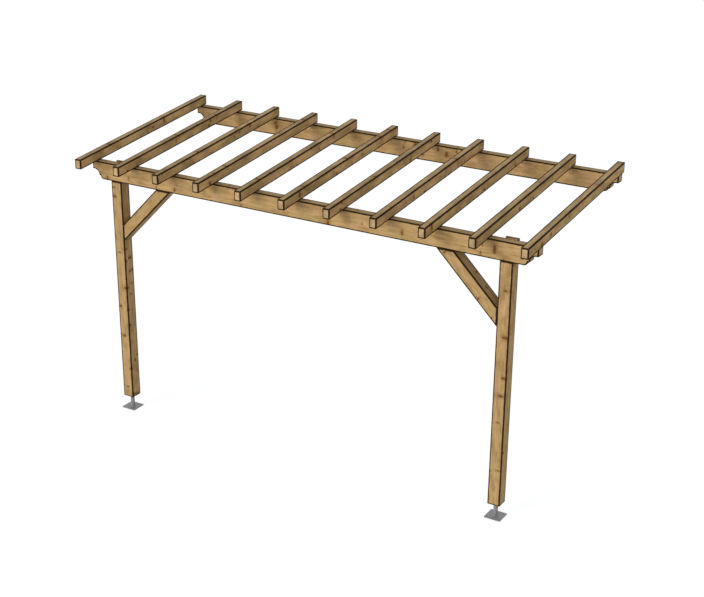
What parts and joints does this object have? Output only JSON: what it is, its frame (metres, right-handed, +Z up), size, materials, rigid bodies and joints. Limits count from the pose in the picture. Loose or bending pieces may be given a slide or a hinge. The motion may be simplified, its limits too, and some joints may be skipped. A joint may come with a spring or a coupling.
{
  "type": "wooden lean-to pergola",
  "caption": "Lean-to timber pergola: sloping rafters on a wall beam and a front beam with moulded ends, on braced square posts with adjustable steel feet.",
  "frame": {"origin": "centre of the wall beam's back face, which is fixed to the wall", "axes": "+X along the wall to the right seen from the front, +Y into the wall, +Z up"},
  "size_m": [4.83, 2.06, 2.9405],
  "materials": {
    "rafter_pine": "planed, pressure-treated pine",
    "beam_pine": "planed, pressure-treated pine",
    "post_pine": "planed, pressure-treated pine",
    "brace_pine": "planed, pressure-treated pine",
    "galvanised_steel": "hot-dip galvanised, dull"
  },
  "bodies": {
    "root": {"rafter_01": "rafter_pine", "rafter_02": "rafter_pine", "rafter_03": "rafter_pine", "rafter_04": "rafter_pine", "rafter_05": "rafter_pine", "rafter_06": "rafter_pine", "rafter_07": "rafter_pine", "rafter_08": "rafter_pine", "rafter_09": "rafter_pine", "rafter_10": "rafter_pine", "rafter_11": "rafter_pine", "wall_beam": "beam_pine", "front_beam": "beam_pine", "post_left": "post_pine", "post_right": "post_pine", "brace_left": "brace_pine", "brace_right": "brace_pine", "foot_plate_left": "galvanised_steel", "foot_sleeve_left": "galvanised_steel", "foot_stem_left": "galvanised_steel", "foot_nut_left": "galvanised_steel", "foot_head_left": "galvanised_steel", "foot_plate_right": "galvanised_steel", "foot_sleeve_right": "galvanised_steel", "foot_stem_right": "galvanised_steel", "foot_nut_right": "galvanised_steel", "foot_head_right": "galvanised_steel"}
  },
  "joints": []
}
